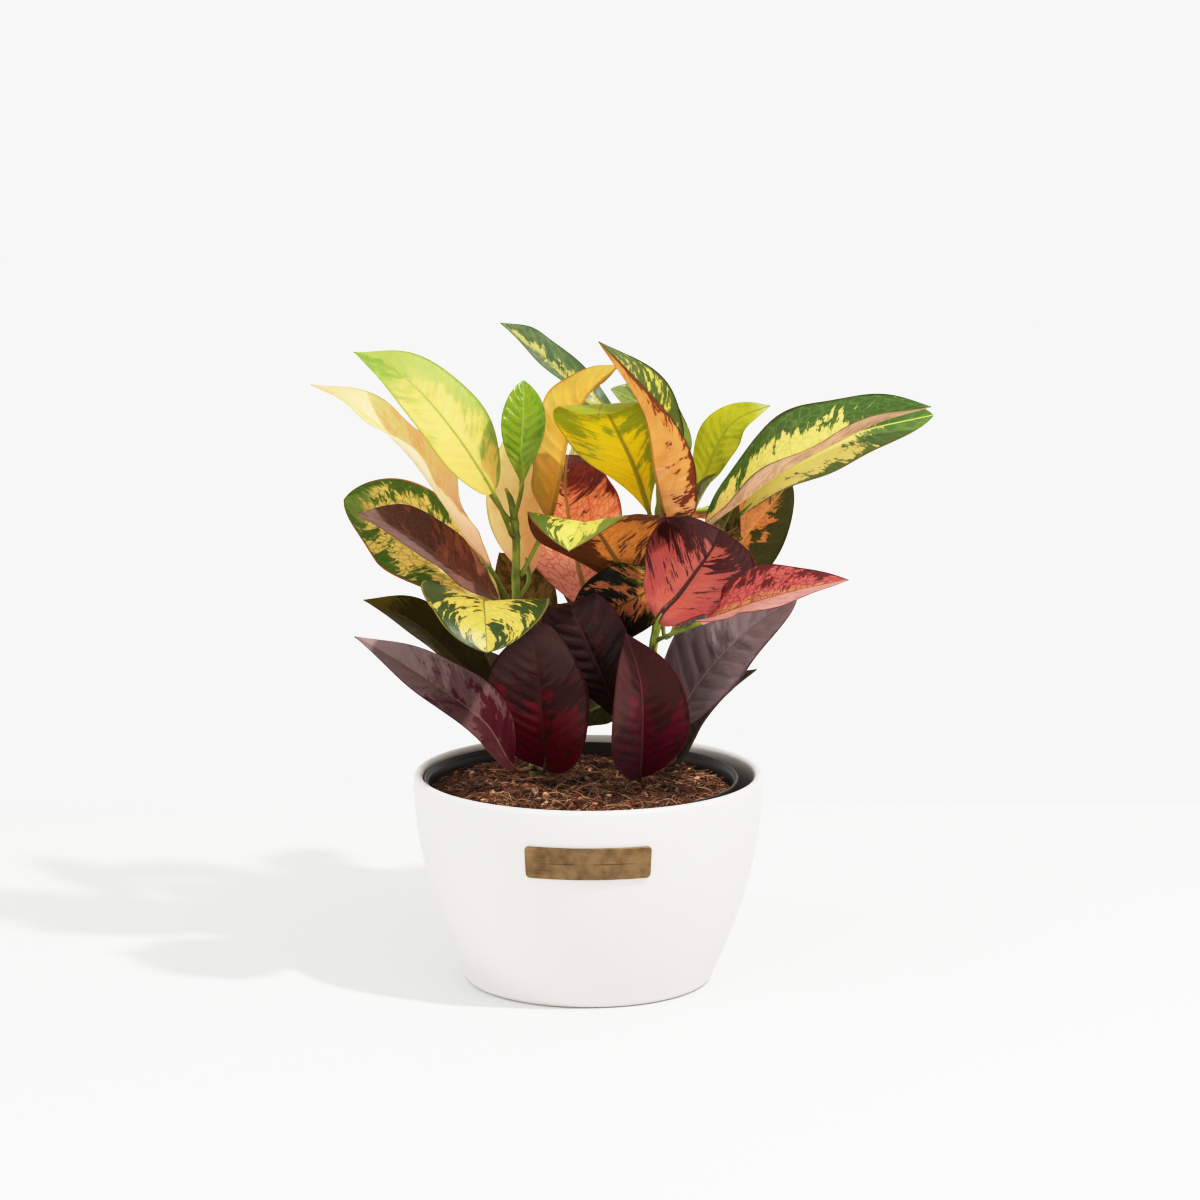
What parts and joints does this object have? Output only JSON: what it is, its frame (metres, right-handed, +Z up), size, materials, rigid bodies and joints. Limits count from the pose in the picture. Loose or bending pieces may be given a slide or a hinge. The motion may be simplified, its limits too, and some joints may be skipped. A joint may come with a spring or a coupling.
{
  "type": "potted croton",
  "caption": "Small croton plant with broad mottled leaves in a black nursery liner, standing in a white bowl-shaped pot with a bare brass plate.",
  "frame": {"origin": "under the pot, on its axis, in the surface that it stands on", "axes": "+Z up, along the pot's axis; -Y towards the plate on the pot's front"},
  "size_m": [0.2974, 0.2058, 0.3216],
  "materials": {
    "pot": "matt white glaze",
    "plaque": "brushed and darkened",
    "liner": "satin black",
    "soil": "loose coir fibre and bark",
    "stem": "green living stem",
    "leaf_dark": "glossy maroon living leaf",
    "leaf_coral": "glossy coral and orange living leaf",
    "leaf_yellow": "glossy yellow living leaf",
    "leaf_green": "glossy green living leaf"
  },
  "bodies": {
    "root": {"pot": "pot", "plaque": "plaque", "liner": "liner", "soil": "soil", "stem_left": "stem", "stem_right": "stem", "stem_back": "stem", "leaf_low_front_left": "leaf_dark", "leaf_low_front_right": "leaf_dark", "leaf_low_pleated": "leaf_dark", "leaf_low_right": "leaf_dark", "leaf_low_right_back": "leaf_dark", "leaf_low_left": "leaf_dark", "leaf_left_dark": "leaf_dark", "leaf_low_centre": "leaf_dark", "leaf_left_maroon": "leaf_dark", "leaf_left_broad": "leaf_yellow", "leaf_front_arched": "leaf_yellow", "leaf_centre_dark": "leaf_dark", "leaf_centre_net": "leaf_coral", "leaf_right_red": "leaf_coral", "leaf_right_pink": "leaf_coral", "leaf_right_orange": "leaf_coral", "leaf_right_dark_tip": "leaf_green", "leaf_centre_coral": "leaf_coral", "leaf_centre_arched": "leaf_coral", "leaf_top_yellow": "leaf_yellow", "leaf_top_folded": "leaf_coral", "leaf_top_narrow": "leaf_yellow", "leaf_centre_cream": "leaf_yellow", "leaf_left_cream": "leaf_yellow", "leaf_left_long": "leaf_yellow", "leaf_left_yellow": "leaf_yellow", "leaf_young_green": "leaf_green", "leaf_young_lime": "leaf_green", "leaf_top_green": "leaf_green", "leaf_top_back": "leaf_green", "leaf_young_sliver": "leaf_green", "leaf_right_long": "leaf_green", "leaf_right_under": "leaf_yellow", "leaf_back_low_centre": "leaf_dark", "leaf_back_low_left": "leaf_dark", "leaf_back_low_right": "leaf_dark", "leaf_back_middle_left": "leaf_coral", "leaf_back_middle_right": "leaf_coral", "leaf_back_upper_left": "leaf_yellow", "leaf_back_upper_right": "leaf_green", "leaf_back_top": "leaf_green", "leaf_back_inner_left": "leaf_yellow", "leaf_back_centre": "leaf_yellow", "leaf_back_upper_centre": "leaf_yellow", "leaf_back_side_right": "leaf_yellow"}
  },
  "joints": []
}
